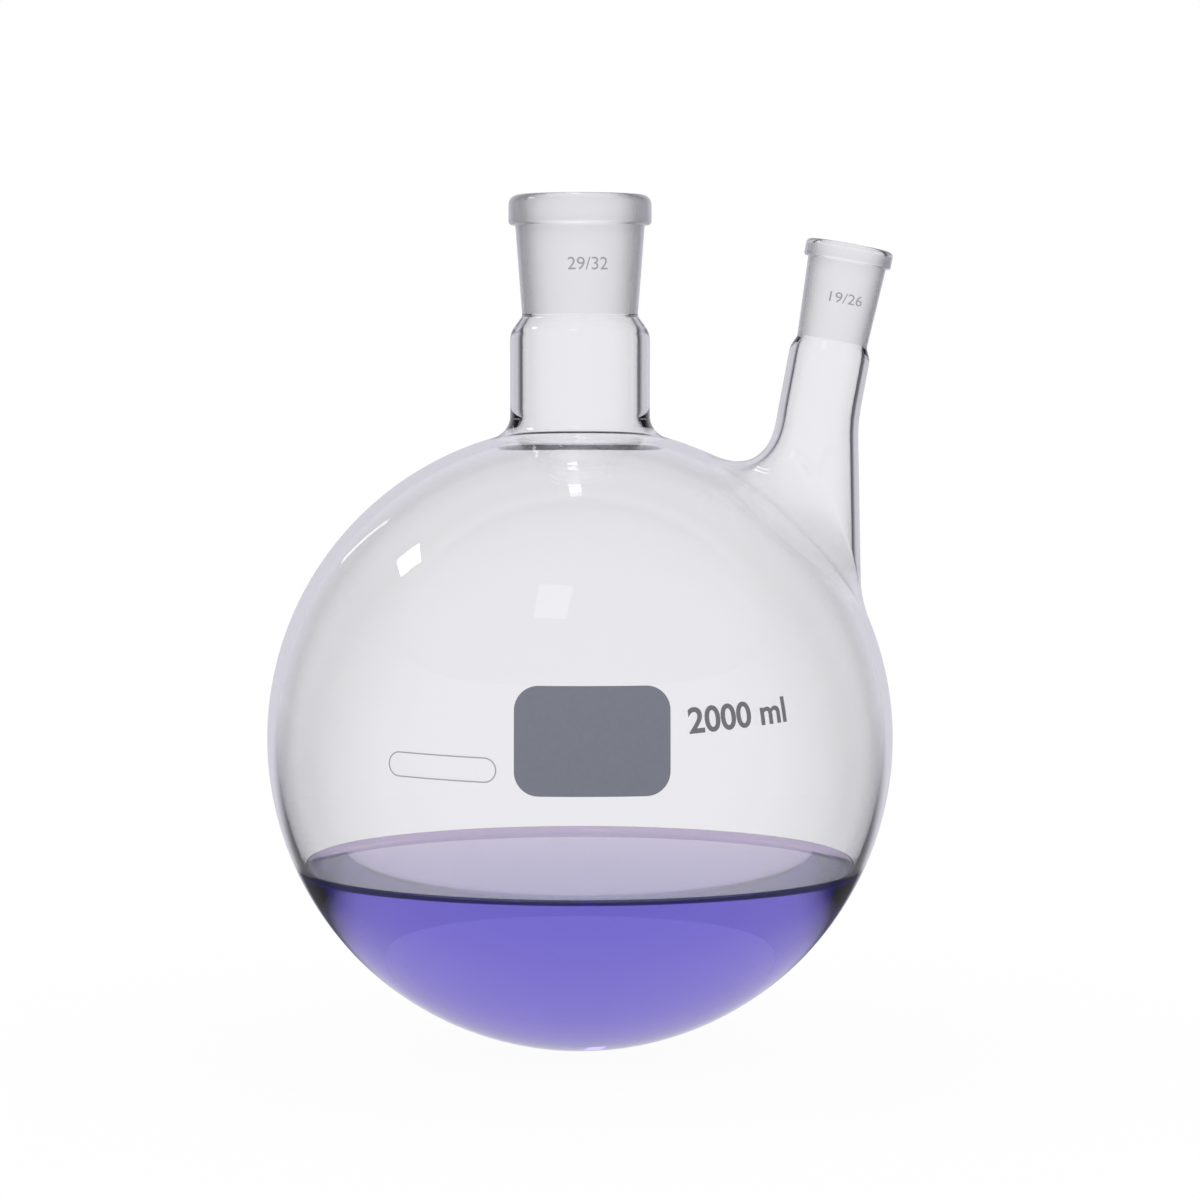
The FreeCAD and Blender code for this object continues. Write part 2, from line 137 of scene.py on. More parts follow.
# Liquid, which rises a little at the wall, up to its brim
LIQUID_GAP = 0.3
LIQUID_DEPTH = 46.0
LIQUID = HOLLOW - LIQUID_GAP
LIQUID_LEVEL = LIQUID_DEPTH - HOLLOW
MENISCUS_RISE = 1.6
MENISCUS_WIDTH = 3.2
BRIM_LEVEL = LIQUID_LEVEL + MENISCUS_RISE
BRIM_STEP = math.radians(0.1)
BRIM_ROUND = 0.08

# How finely the round shapes are divided
COLUMNS = 144
SIDE_COLUMNS = 96
BALL_STEPS = 84
ARC_STEP = math.radians(9)
ROOT_ROUND_STEPS = 24
ROOT_FLARE_STEPS = 12
MENISCUS_STEPS = 8
HALVINGS = 40

# The bulb's own faces stop this far from the rings where the side neck begins, and a patch fills the gap. No
# face beyond ROOT_REACH from the middle of the root can be in the way.
PATCH_MARGIN = 2.4
ROOT_REACH = math.acos(0.7)

# A point this near the axis or this near a ball lies on it, and points this near each other are one.
ON_AXIS = 1e-4
ON_BALL = 0.01
SAME_POINT = 1e-7

# A slope on the side neck comes from points this far away, in radians round it and in millimetres along it.
SLOPE_TURN = 0.02
SLOPE_RISE = 0.2

SIDE_AXIS = Vector((math.sin(SIDE_TILT), 0, math.cos(SIDE_TILT)))
SIDE_ACROSS = Vector((math.cos(SIDE_TILT), 0, -math.sin(SIDE_TILT)))
DEPTH = Vector((0, 1, 0))
ROOT = Vector((math.sin(SIDE_SEAT), 0, math.cos(SIDE_SEAT)))


class Profile:
    """A line that is drawn from point to point, (across, up), as one draws it without lifting the pen. Each
    of its points has the normal on the right hand of its heading, and says whether the glass is ground
    there and whether liquid wets it."""

    def __init__(self, start, heading, wet=0.0):
        self.place = Vector(start)
        self.heading = Vector(heading).normalized()
        self.ground = 0.0
        self.wet = wet
        self.points = []
        self.mark()

    def mark(self):
        normal = Vector((self.heading.y, -self.heading.x))
        self.points.append((self.place.copy(), normal, self.ground, self.wet))

    def bend(self, radius, turn, steps=None):
        """Goes round an arc, to the left where turn is positive."""
        steps = steps or max(2, math.ceil(abs(turn) / ARC_STEP))
        side = math.copysign(1, turn)
        for _ in range(steps):
            left = Vector((-self.heading.y, self.heading.x))
            centre = self.place + side * radius * left
            self.place = centre + turned_by(self.place - centre, turn / steps)
            self.heading = turned_by(self.heading, turn / steps)
            self.mark()

    def straight(self, target):
        self.heading = (Vector(target) - self.place).normalized()
        self.place = Vector(target)
        self.mark()

    def through(self, corners):
        """Straight lines through rounded corners, each (across, up, round). The last one is the end."""
        for (across, up, rounding), (next_across, next_up, _) in zip(corners, corners[1:]):
            corner = Vector((across, up))
            onward = (Vector((next_across, next_up)) - corner).normalized()
            inward = (corner - self.place).normalized()
            turn = math.atan2(inward.x * onward.y - inward.y * onward.x, inward.dot(onward))
            reach = rounding * math.tan(abs(turn) / 2)
            self.heading = inward
            self.straight(corner - inward * reach)
            self.bend(rounding, turn)
        self.straight(corners[-1][:2])


def turned_by(vector, angle):
    return Matrix.Rotation(angle, 2) @ vector


class Skin:
    """A mesh in the making, in millimetres, with the true normal of each point."""

    def __init__(self):
        self.points = []
        self.normals = []
        self.ground = []
        self.wet = []
        self.faces = []

    def add(self, point, normal, ground=0.0, wet=0.0):
        self.points.append(point)
        self.normals.append(normal)
        self.ground.append(ground)
        self.wet.append(wet)
        return len(self.points) - 1

    def band(self, lower, upper, keep=None):
        """Joins two rings with faces. A ring of one point is a pole."""
        count = max(len(lower), len(upper))
        for index in range(count):
            after = (index + 1) % count
            face = [lower[index % len(lower)], lower[after % len(lower)],
                    upper[after % len(upper)], upper[index % len(upper)]]
            face = list(dict.fromkeys(face))
            if keep is None or keep(face):
                self.faces.append(face)

    def open_edges(self):
        uses = Counter()
        for face in self.faces:
            for pair in zip(face, face[1:] + face[:1]):
                uses[tuple(sorted(pair))] += 1
        return [pair for pair, count in uses.items() if count == 1]

    def build(self, name):
        """Makes the object, without the points that no face uses."""
        used = sorted({index for face in self.faces for index in face})
        new_index = {old: new for new, old in enumerate(used)}
        faces = [[new_index[index] for index in face] for face in self.faces]
        mesh = bpy.data.meshes.new(name)
        mesh.from_pydata([(self.points[index] + MIDDLE) * MM for index in used], [], faces)
        mesh.shade_smooth()
        mesh.normals_split_custom_set_from_vertices([self.normals[index] for index in used])
        for attribute, values in (("ground", self.ground), ("wet", self.wet)):
            data = mesh.attributes.new(attribute, "FLOAT", "POINT").data
            data.foreach_set("value", [values[index] for index in used])
        obj = bpy.data.objects.new(name, mesh)
        bpy.context.scene.collection.objects.link(obj)
        return obj


def turn_profile(skin, profile, keep=None):
    """Turns a profile about the upright axis."""
    rings = []
    for place, normal, ground, wet in profile.points:
        if place.x < ON_AXIS:
            rings.append([skin.add(Vector((0, 0, place.y)), Vector((0, 0, normal.y)), ground, wet)])
            continue
        ring = []
        for column in range(COLUMNS):
            angle = 2 * math.pi * column / COLUMNS
            out = Vector((math.cos(angle), math.sin(angle), 0))
            up = Vector((0, 0, 1))
            ring.append(skin.add(out * place.x + up * place.y, out * normal.x + up * normal.y, ground, wet))
        rings.append(ring)
    for lower, upper in zip(rings, rings[1:]):
        skin.band(lower, upper, keep)


def root_turn(ball, tube, rounding):
    """How far round the ball the root of the centre neck begins, from straight down."""
    return math.pi - math.asin((tube + rounding) / (ball + rounding))


def centre_profile():
    """The line of the glass from the foot of the bulb, up its outside, over the rim and down its inside."""
    line = Profile((0, -BULB), (1, 0))
    outer_turn = root_turn(BULB, NECK, NECK_ROUND)
    line.bend(BULB, outer_turn, BALL_STEPS)
    line.bend(NECK_ROUND, math.pi / 2 - outer_turn)
    line.through([
        (NECK, SHOULDER, SHOULDER_ROUND),
        (CONE_FOOT + FOOT_WALL, SOCKET_FOOT, FOOT_ROUND),
        (COLLAR_HEAD, COLLAR_FOOT, SOFT_EDGE),
        (COLLAR, COLLAR_FOOT, COLLAR_FOOT_ROUND),
        (COLLAR, RIM, COLLAR_ROUND),
        (CONE_MOUTH + MOUTH_BEVEL, RIM, SOFT_EDGE),
        (CONE_MOUTH, RIM - MOUTH_BEVEL, SOFT_EDGE / 2),
        (CONE_MOUTH - LIP_NARROWER, RIM - MOUTH_BEVEL - LIP_DEPTH, 0),
    ])
    line.ground = 1.0
    line.straight((CONE_MOUTH - GROUND_NARROWER, RIM - MOUTH_BEVEL - GROUND_DEPTH))
    line.straight((CONE_FOOT + GROUND_END_WIDER, SOCKET_FOOT + GROUND_END))
    line.ground = 0.0
    line.straight((CONE_FOOT + CLEAR_END_WIDER, SOCKET_FOOT + CLEAR_END))
    inner_turn = root_turn(HOLLOW, BORE, BORE_ROUND)
    foot = (HOLLOW + BORE_ROUND) * -math.cos(inner_turn)
    line.through([
        (CONE_FOOT, SOCKET_FOOT, CONE_FOOT_ROUND),
        (BORE, SHOULDER, SHOULDER_ROUND / 2),
        (BORE, foot, 0),
    ])
    line.bend(BORE_ROUND, inner_turn - math.pi / 2)
    brim_turn = inner_turn - math.acos(-BRIM_LEVEL / HOLLOW)
    line.bend(HOLLOW, -brim_turn, BALL_STEPS // 2)
    line.wet = 1.0
    line.bend(HOLLOW, -BRIM_STEP, 1)
    line.bend(HOLLOW, brim_turn + BRIM_STEP - inner_turn, BALL_STEPS // 2)
    line.points[-1] = (Vector((0, -HOLLOW)), Vector((0, 1)), 0.0, 1.0)
    return line


def flare_point(tube, angle, height):
    """A point of the side neck's root and its normal, from the neck's axis outwards. The root opens away
    from the centre neck, and keeps the neck's line beside it."""
    def place(around, along):
        fall = FLARE_TOP - along
        if fall < -FLARE_EASE:
            opening = 0.0
        elif fall < FLARE_EASE:
            opening = (fall + FLARE_EASE) ** 2 / (4 * FLARE_EASE) * FLARE_GROWTH
        else:
            opening = fall * FLARE_GROWTH
        radius = tube + opening
        across = opening + radius * math.cos(around)
        return ROOT * BULB + SIDE_AXIS * along + SIDE_ACROSS * across + DEPTH * radius * math.sin(around)

    around = place(angle + SLOPE_TURN, height) - place(angle - SLOPE_TURN, height)
    along = place(angle, height + SLOPE_RISE) - place(angle, height - SLOPE_RISE)
    return place(angle, height), around.cross(along).normalized()


def meeting_height(ball, tube, angle):
    """The height at which a line of the root meets the ball."""
    low, high = -FLARE_TOP, FLARE_TOP
    for _ in range(HALVINGS):
        height = (low + high) / 2
        if flare_point(tube, angle, height)[0].length < ball:
            low = height
        else:
            high = height
    return (low + high) / 2


def root_rings(ball, tube, wall):
    """Rings from the ball up to the plain tube. They leave the ball and reach the tube softly: tightest
    beside the centre neck, and widest on the far side."""
    end = FLARE_TOP + FLARE_EASE
    rings = [[] for _ in range(ROOT_ROUND_STEPS + ROOT_FLARE_STEPS + 1)]
    for column in range(SIDE_COLUMNS):
        angle = 2 * math.pi * column / SIDE_COLUMNS
        height = meeting_height(ball, tube, angle)
        corner, normal = flare_point(tube, angle, height)
        out = corner.normalized()
        away = (normal - out * normal.dot(out)).normalized()
        half_turn = out.angle(normal) / 2
        far = 1 - ((1 - math.cos(angle)) / 2) ** 3
        rounding = wall + SIDE_ROUND + (FAR_ROUND - SIDE_ROUND) * far
        reach = 2 * rounding * math.tan(half_turn) / (1 + math.cos(half_turn))
        for step in range(ROOT_ROUND_STEPS + 1):
            share = step / ROOT_ROUND_STEPS
            weight = share ** 3 * (10 - 15 * share + 6 * share ** 2)
            slide = reach * (1 - share) / ball
            on_ball = (out * math.cos(slide) + away * math.sin(slide)) * ball
            on_tube, _ = flare_point(tube, angle, height + reach * share)
            rings[step].append(on_ball.lerp(on_tube, weight))
        for step in range(1, ROOT_FLARE_STEPS + 1):
            level = height + reach + (end - height - reach) * step / ROOT_FLARE_STEPS
            rings[ROOT_ROUND_STEPS + step].append(flare_point(tube, angle, level)[0])
    return [with_normals(rings, index) for index in range(len(rings))]


def with_normals(rings, index):
    """The points of a ring with their normals, from the points round about."""
    ring = rings[index]
    if index == 0:
        return [(point, point.normalized()) for point in ring]
    below = rings[index - 1]
    above = rings[min(index + 1, len(rings) - 1)]
    found = []
    for column, point in enumerate(ring):
        around = ring[(column + 1) % len(ring)] - ring[column - 1]
        found.append((point, around.cross(above[column] - below[column]).normalized()))
    return found


def side_profile():
    """The line of the side neck's glass above its flared root, up, over the rim and down to the flare."""
    end = FLARE_TOP + FLARE_EASE
    line = Profile((SIDE, end), (0, 1))
    line.through([
        (SIDE, SIDE_SHOULDER, SIDE_SHOULDER_ROUND),
        (SIDE_CONE_FOOT + SIDE_SOCKET_WALL, SIDE_FOOT, SIDE_FOOT_ROUND),
        (SIDE_COLLAR_HEAD, SIDE_COLLAR_FOOT, SOFT_EDGE),
        (SIDE_COLLAR, SIDE_COLLAR_FOOT, SIDE_COLLAR_FOOT_ROUND),
        (SIDE_COLLAR, SIDE_RIM, SIDE_COLLAR_ROUND),
        (SIDE_CONE_MOUTH + MOUTH_BEVEL, SIDE_RIM, SOFT_EDGE / 2),
        (SIDE_CONE_MOUTH, SIDE_RIM - MOUTH_BEVEL, SOFT_EDGE / 2),
        (SIDE_CONE_MOUTH - LIP_NARROWER, SIDE_RIM - MOUTH_BEVEL - SIDE_LIP_DEPTH, 0),
    ])
    line.ground = 1.0
    line.straight((SIDE_CONE_MOUTH - GROUND_NARROWER, SIDE_RIM - MOUTH_BEVEL - SIDE_GROUND_DEPTH))
    line.straight((SIDE_CONE_FOOT + GROUND_END_WIDER, SIDE_FOOT + GROUND_END))
    line.ground = 0.0
    line.through([
        (SIDE_CONE_FOOT, SIDE_FOOT, CONE_FOOT_ROUND),
        (SIDE_BORE, SIDE_SHOULDER, SIDE_BORE_ROUND),
        (SIDE_BORE, end, 0),
    ])
    return line


def side_neck(skin):
    """Adds the side neck, and returns the ring of points where it meets the bulb outside and inside."""
    outer = root_rings(BULB, SIDE, 0)
    bore = root_rings(HOLLOW, SIDE_BORE, SIDE_WALL)
    inner = [[(point, -normal) for point, normal in ring] for ring in bore]
    turned = []
    for place, normal, ground, _ in side_profile().points[1:-1]:
        ring = []
        for column in range(SIDE_COLUMNS):
            angle = 2 * math.pi * column / SIDE_COLUMNS
            out = SIDE_ACROSS * math.cos(angle) + DEPTH * math.sin(angle)
            point = ROOT * BULB + out * place.x + SIDE_AXIS * place.y
            ring.append((point, out * normal.x + SIDE_AXIS * normal.y, ground))
        turned.append(ring)
    rings = [[skin.add(*point) for point in ring] for ring in outer + turned + inner[::-1]]
    for lower, upper in zip(rings, rings[1:]):
        skin.band(lower, upper)
    return rings[0], rings[-1]


def seen_from_root(point):
    """A point of a ball on the plane that touches it at the root of the side neck."""
    reach = point.dot(ROOT)
    side = DEPTH.cross(ROOT)
    return Vector((point.dot(side) / reach, point.dot(DEPTH) / reach))


def clear_of(skin, loops):
    """A test that says whether a face of the bulb stays clear of the rings where the side neck begins."""
    tree = KDTree(sum(len(loop) for loop in loops))
    for index in (index for loop in loops for index in loop):
        tree.insert(skin.points[index], index)
    tree.balance()

    def blocked(index):
        point = skin.points[index]
        if point.angle(ROOT) > ROOT_REACH or point.length > BULB + ON_BALL:
            return False
        _, nearest, distance = tree.find(point)
        inside = seen_from_root(point).length < seen_from_root(skin.points[nearest]).length
        return inside or distance < PATCH_MARGIN

    return lambda face: not any(blocked(index) for index in face)


def patch(skin, ball, neck_ring, facing):
    """Fills the gap that is left open on a ball round the side neck."""
    def on_ball(index):
        return abs(skin.points[index].length - ball) < ON_BALL

    edges = [edge for edge in skin.open_edges() if on_ball(edge[0]) and on_ball(edge[1])]
    corners = sorted({index for edge in edges for index in edge})
    order = {index: place for place, index in enumerate(corners)}
    flat = [seen_from_root(skin.points[index]) for index in corners]
    lines = [(order[first], order[last]) for first, last in edges]
    only_inside = 1
    _, _, faces, origins, _, _ = delaunay_2d_cdt(flat, lines, [], only_inside, SAME_POINT)
    for face in faces:
        triangle = [corners[origins[index][0]] for index in face]
        if set(neck_ring).issuperset(triangle):
            continue
        first, second, third = (skin.points[index] for index in triangle)
        outwards = (second - first).cross(third - first).dot(first) > 0
        skin.faces.append(triangle if outwards == (facing > 0) else triangle[::-1])


def make_flask():
    skin = Skin()
    outer_ring, inner_ring = side_neck(skin)
    turn_profile(skin, centre_profile(), clear_of(skin, (outer_ring, inner_ring)))
    patch(skin, BULB, outer_ring, 1)
    patch(skin, HOLLOW, inner_ring, -1)
    if skin.open_edges():
        raise RuntimeError("the flask's skin isn't closed")
    return skin.build("flask_glass")


def make_liquid():
    """The round cap of liquid, with its rise at the wall."""
    turn = math.acos(-BRIM_LEVEL / LIQUID)
    round_size = (MENISCUS_RISE ** 2 + MENISCUS_WIDTH ** 2) / (2 * MENISCUS_RISE)
    rise_turn = math.atan2(MENISCUS_WIDTH, round_size - MENISCUS_RISE)
    line = Profile((0, -LIQUID), (1, 0), wet=1.0)
    line.bend(LIQUID, turn, BALL_STEPS // 2)
    line.wet = 0.0
    line.bend(BRIM_ROUND, math.pi + rise_turn - turn)
    line.bend(round_size, -rise_turn, MENISCUS_STEPS)
    line.straight((0, line.place.y))
    skin = Skin()
    turn_profile(skin, line)
    return skin.build("violet_liquid")


flask = make_flask()
liquid = make_liquid()
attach(flask, "root")
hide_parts("flask_body")
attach(liquid, "root")
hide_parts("liquid")

# Print, as thin solids that lie PRINT_LIFT off the glass and are cut every PRINT_PITCH to bend round it

PRINT_LIFT = 0.03
PRINT_DEPTH = 0.05
PRINT_PITCH = 1.5
WELD = 1e-5


def on_bulb(across, up, lift):
    """Wraps a flat place on the bulb. Distances are along its surface, from the middle of its front."""
    latitude = up / BULB
    longitude = across / BULB
    level = math.cos(latitude)
    out = Vector((level * math.sin(longitude), -level * math.cos(longitude), math.sin(latitude)))
    return out * (BULB + lift)


def on_centre_socket(across, up, lift):
    share = (up - SOCKET_FOOT) / (COLLAR_FOOT - SOCKET_FOOT)
    radius = CONE_FOOT + FOOT_WALL + (COLLAR_HEAD - CONE_FOOT - FOOT_WALL) * share + lift
    angle = across / radius
    return Vector((radius * math.sin(angle), -radius * math.cos(angle), up))


def on_side_socket(across, up, lift):
    share = (up - SIDE_FOOT) / (SIDE_COLLAR_FOOT - SIDE_FOOT)
    foot = SIDE_CONE_FOOT + SIDE_SOCKET_WALL
    radius = foot + (SIDE_COLLAR_HEAD - foot) * share + lift
    angle = across / radius
    out = SIDE_ACROSS * math.sin(angle) - DEPTH * math.cos(angle)
    return ROOT * BULB + SIDE_AXIS * up + out * radius


def cut_in_strips(flat):
    """Cuts a flat mesh so finely that it can bend round the glass."""
    for direction in (Vector((1, 0, 0)), Vector((0, 1, 0))):
        reaches = [vert.co.dot(direction) for vert in flat.verts]
        place = min(reaches) + PRINT_PITCH
        while place < max(reaches):
            everything = flat.verts[:] + flat.edges[:] + flat.faces[:]
            bmesh.ops.bisect_plane(flat, geom=everything, dist=WELD, plane_co=direction * place,
                                   plane_no=direction)
            place += PRINT_PITCH


def fit_print(flat, middle, width, height, lean):
    """Scales a flat mesh to its real size, turns it and puts its middle at a place on the glass."""
    lowest = Vector(min(vert.co[axis] for vert in flat.verts) for axis in range(3))
    highest = Vector(max(vert.co[axis] for vert in flat.verts) for axis in range(3))
    extent = highest - lowest
    for vert in flat.verts:
        share = vert.co - (lowest + highest) / 2
        place = Vector((share.x * width / extent.x, share.y * height / extent.y))
        place = turned_by(place, math.radians(lean)) + Vector(middle)
        vert.co = Vector((place.x, place.y, (vert.co.z - lowest.z) * PRINT_DEPTH / extent.z))


def wrap_print(name, flat, surface, middle, width, height, lean):
    """Makes a printed piece: a thin solid on the glass."""
    bmesh.ops.remove_doubles(flat, verts=flat.verts, dist=WELD)
    fit_print(flat, middle, width, height, lean)
    cut_in_strips(flat)
    for vert in flat.verts:
        across, up, depth = vert.co
        vert.co = (surface(across, up, PRINT_LIFT + depth) + MIDDLE) * MM
    bmesh.ops.recalc_face_normals(flat, faces=flat.faces)
    mesh = bpy.data.meshes.new(name)
    flat.to_mesh(mesh)
    flat.free()
    obj = bpy.data.objects.new(name, mesh)
    bpy.context.scene.collection.objects.link(obj)
    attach(obj, "root")
    return obj


def flat_words(words, weight):
    """Words as a flat solid, in the font that is built in. More weight makes the strokes thicker."""
    curve = bpy.data.curves.new("words", "FONT")
    curve.body = words
    curve.size = 10
    curve.extrude = 0.5
    curve.offset = weight
    curve.resolution_u = 6
    holder = bpy.data.objects.new("words", curve)
    bpy.context.scene.collection.objects.link(holder)
    shape = bpy.data.meshes.new_from_object(holder.evaluated_get(bpy.context.evaluated_depsgraph_get()))
    flat = bmesh.new()
    flat.from_mesh(shape)
    bpy.data.objects.remove(holder)
    bpy.data.curves.remove(curve)
    bpy.data.meshes.remove(shape)
    return flat


def flat_frame(width, height, line):
    """A thin line round a field with round ends, as a flat solid."""
    steps = 16
    ends = [(width / 2 - height / 2, -90), (height / 2 - width / 2, 90)]
    flat = bmesh.new()
    rings = []
    for inset, depth in ((0, 0), (0, 1), (line, 1), (line, 0)):
        radius = height / 2 - inset
        ring = []
        for across, first in ends:
            for step in range(steps + 1):
                angle = math.radians(first + 180 * step / steps)
                place = (across + radius * math.cos(angle), radius * math.sin(angle), depth)
                ring.append(flat.verts.new(place))
        rings.append(ring)
    for ring, following in zip(rings, rings[1:] + rings[:1]):
        for index in range(len(ring)):
            after = (index + 1) % len(ring)
            flat.faces.new((ring[index], ring[after], following[after], following[index]))
    return flat


OUTLINE_WIDTH = 29.8
OUTLINE_HEIGHT = 6.3
OUTLINE_LINE = 0.32

volume_mark = wrap_print("volume_mark", flat_words("2000 ml", weight=0.22), on_bulb,
                         middle=(41.6, 12.6), width=28.6, height=6.6, lean=3.6)
outline_mark = wrap_print("outline_mark", flat_frame(OUTLINE_WIDTH, OUTLINE_HEIGHT, OUTLINE_LINE), on_bulb,
                          middle=(-35.6, 0.0), width=OUTLINE_WIDTH, height=OUTLINE_HEIGHT, lean=-1.3)
centre_mark = wrap_print("centre_socket_mark", flat_words("29/32", weight=0.0), on_centre_socket,
                         middle=(2.1, 125.4), width=10.7, height=3.3, lean=0)
side_mark = wrap_print("side_socket_mark", flat_words("19/26", weight=0.0), on_side_socket,
                       middle=(1.0, 58.2), width=9.0, height=2.7, lean=0)
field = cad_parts["marking_field"]

# Materials

# How strongly light bends in the glass and in the liquid. Where the liquid wets the glass, all the bending
# from one to the other is done by the glass, and the wet side of the liquid bends nothing.
GLASS_BENDING = 1.47
LIQUID_BENDING = 1.33

# Each surface has a tint, and the body of the glass or the liquid has a colour, and darkens all others the
# more, the denser it is and the longer the way through it.
GLASS_TINT = (0.945, 0.942, 0.956)
GROUND_TINT = (0.92, 0.92, 0.932)
GROUND_ROUGHNESS = 0.42
GLASS_BODY = (0.2, 0.2, 0.22)
GLASS_DENSITY = 8.0
LIQUID_TOP_TINT = (0.72, 0.72, 0.5)
LIQUID_WET_TINT = (0.45, 0.34, 0.88)
LIQUID_BODY = (0.17, 0.24, 0.77)
LIQUID_DENSITY = 7.0

# Enamel and ink, with the scales of the noise in their colour, their gloss and their surface
FIELD_GREY = (0.215, 0.23, 0.28)
INK_GREY = (0.19, 0.19, 0.215)
PALE_GREY = (0.42, 0.42, 0.45)
COLOUR_GRAIN = 900
GLOSS_GRAIN = 500
SURFACE_GRAIN = 1500
GRAIN_HEIGHT = 0.00005
GRAIN_STRENGTH = 0.15
ENAMEL_ROUGHNESS = (0.55, 0.75)

# Which sockets a colour mix has for its share, its two colours and its result
MIX_SHARE = 0
MIX_FIRST = 6
MIX_SECOND = 7
MIX_RESULT = 2


def new_material(name):
    """A material with its shader and its output."""
    material = bpy.data.materials.new(name)
    material.use_nodes = True
    tree = material.node_tree
    return material, tree, tree.nodes["Principled BSDF"], tree.nodes["Material Output"]


def add_node(tree, kind, **settings):
    made = tree.nodes.new(kind)
    for key, value in settings.items():
        setattr(made, key, value)
    return made


def put(tree, socket, value):
    """Links a node's output to a socket, or writes a number, a colour or a vector into it."""
    if isinstance(value, bpy.types.NodeSocket):
        tree.links.new(value, socket)
    elif socket.type == "RGBA" and len(value) == 3:
        socket.default_value = (*value, 1)
    else:
        socket.default_value = value


def noise(tree, scale):
    """Noise in the frame's own metres, so it stays with the glass."""
    place = add_node(tree, "ShaderNodeTexCoord")
    texture = add_node(tree, "ShaderNodeTexNoise")
    put(tree, texture.inputs["Scale"], scale)
    put(tree, texture.inputs["Vector"], place.outputs["Object"])
    return texture.outputs["Fac"]


def between(tree, share, low, high):
    """A number that goes from low to high as share goes from 0 to 1."""
    span = add_node(tree, "ShaderNodeMapRange")
    put(tree, span.inputs["To Min"], low)
    put(tree, span.inputs["To Max"], high)
    put(tree, span.inputs["Value"], share)
    return span.outputs["Result"]


def colour_between(tree, share, first, second, blend="MIX"):
    """A colour that goes from the first to the second as share goes from 0 to 1."""
    mix = add_node(tree, "ShaderNodeMix", data_type="RGBA", blend_type=blend)
    put(tree, mix.inputs[MIX_SHARE], share)
    put(tree, mix.inputs[MIX_FIRST], first)
    put(tree, mix.inputs[MIX_SECOND], second)
    return mix.outputs[MIX_RESULT]


def worked_out(tree, operation, *values):
    """The result of a piece of arithmetic."""
    step = add_node(tree, "ShaderNodeMath", operation=operation)
    for socket, value in zip(step.inputs, values):
        put(tree, socket, value)
    return step.outputs[0]


def painted(tree, name):
    """A value that the mesh carries at each of its points."""
    return add_node(tree, "ShaderNodeAttribute", attribute_name=name).outputs["Fac"]


def absorb(tree, output, colour, density):
    """Glass or liquid that darkens with the length of the way through it."""
    volume = add_node(tree, "ShaderNodeVolumeAbsorption")
    put(tree, volume.inputs["Color"], colour)
    put(tree, volume.inputs["Density"], density)
    put(tree, output.inputs["Volume"], volume.outputs["Volume"])


def clear_glass():
    """Clear glass that is rough where it is ground, and bends less where the liquid wets it."""
    material, tree, shader, output = new_material("clear glass")
    ground = painted(tree, "ground")
    wet = painted(tree, "wet")
    put(tree, shader.inputs["Base Color"], colour_between(tree, ground, GLASS_TINT, GROUND_TINT))
    put(tree, shader.inputs["Roughness"], between(tree, ground, 0.0, GROUND_ROUGHNESS))
    put(tree, shader.inputs["IOR"], between(tree, wet, GLASS_BENDING, GLASS_BENDING / LIQUID_BENDING))
    put(tree, shader.inputs["Transmission Weight"], 1.0)
    absorb(tree, output, GLASS_BODY, GLASS_DENSITY)
    return material


def violet():
    material, tree, shader, output = new_material("violet liquid")
    wet = painted(tree, "wet")
    put(tree, shader.inputs["Base Color"], colour_between(tree, wet, LIQUID_TOP_TINT, LIQUID_WET_TINT))
    put(tree, shader.inputs["Roughness"], 0.0)
    put(tree, shader.inputs["IOR"], between(tree, wet, LIQUID_BENDING, 1.0))
    put(tree, shader.inputs["Transmission Weight"], 1.0)
    absorb(tree, output, LIQUID_BODY, LIQUID_DENSITY)
    return material


def enamel(name, colour, spread):
    """Fired enamel: matt, with a fine grain."""
    material, tree, shader, _ = new_material(name)
    darker = tuple(part * (1 - spread) for part in colour)
    lighter = tuple(part * (1 + spread) for part in colour)
    put(tree, shader.inputs["Base Color"], colour_between(tree, noise(tree, COLOUR_GRAIN), darker, lighter))
    put(tree, shader.inputs["Roughness"], between(tree, noise(tree, GLOSS_GRAIN), *ENAMEL_ROUGHNESS))
    bump = add_node(tree, "ShaderNodeBump")
    put(tree, bump.inputs["Strength"], GRAIN_STRENGTH)
    put(tree, bump.inputs["Distance"], GRAIN_HEIGHT)
    put(tree, bump.inputs["Height"], noise(tree, SURFACE_GRAIN))
    put(tree, shader.inputs["Normal"], bump.outputs["Normal"])
    return material


flask.data.materials.append(clear_glass())
liquid.data.materials.append(violet())
field.data.materials[0] = enamel("grey enamel", FIELD_GREY, spread=0.06)
volume_mark.data.materials.append(enamel("grey ink", INK_GREY, spread=0.05))
pale_ink = enamel("pale grey ink", PALE_GREY, spread=0.05)
for mark in (outline_mark, centre_mark, side_mark):
    mark.data.materials.append(pale_ink)

# Studio

# How bright the world is for what it lights
LIGHT_LEVEL = 0.85
WHITE = (1, 1, 1)

# Brightness of the studio from straight in front of the flask, 0, to straight behind it, 1
STUDIO_LEVELS = [(0, 0.82), (0.33, 0.7), (0.49, 0.45), (0.6, 0.17), (0.645, 0.12), (0.85, 0.14), (0.89, 0.5),
                 (0.93, 0.85), (1, 0.85)]
STUDIO_TINT = (0.98, 0.97, 1.06)

# Light from above and from below: the height of a direction where it begins and where it is full, and how
# bright it is there
LIGHT_ABOVE = (0.25, 0.8, 0.4)
LIGHT_BELOW = (-0.45, -0.8, 0.95)

# The boards behind the liquid: how far sideways a direction is where they begin and where they end
BOARD_START = (0.56, 0.68)
BOARD_END = (0.88, 0.95)
BOARD_COLOUR = (0.05, 0.04, 0.5)

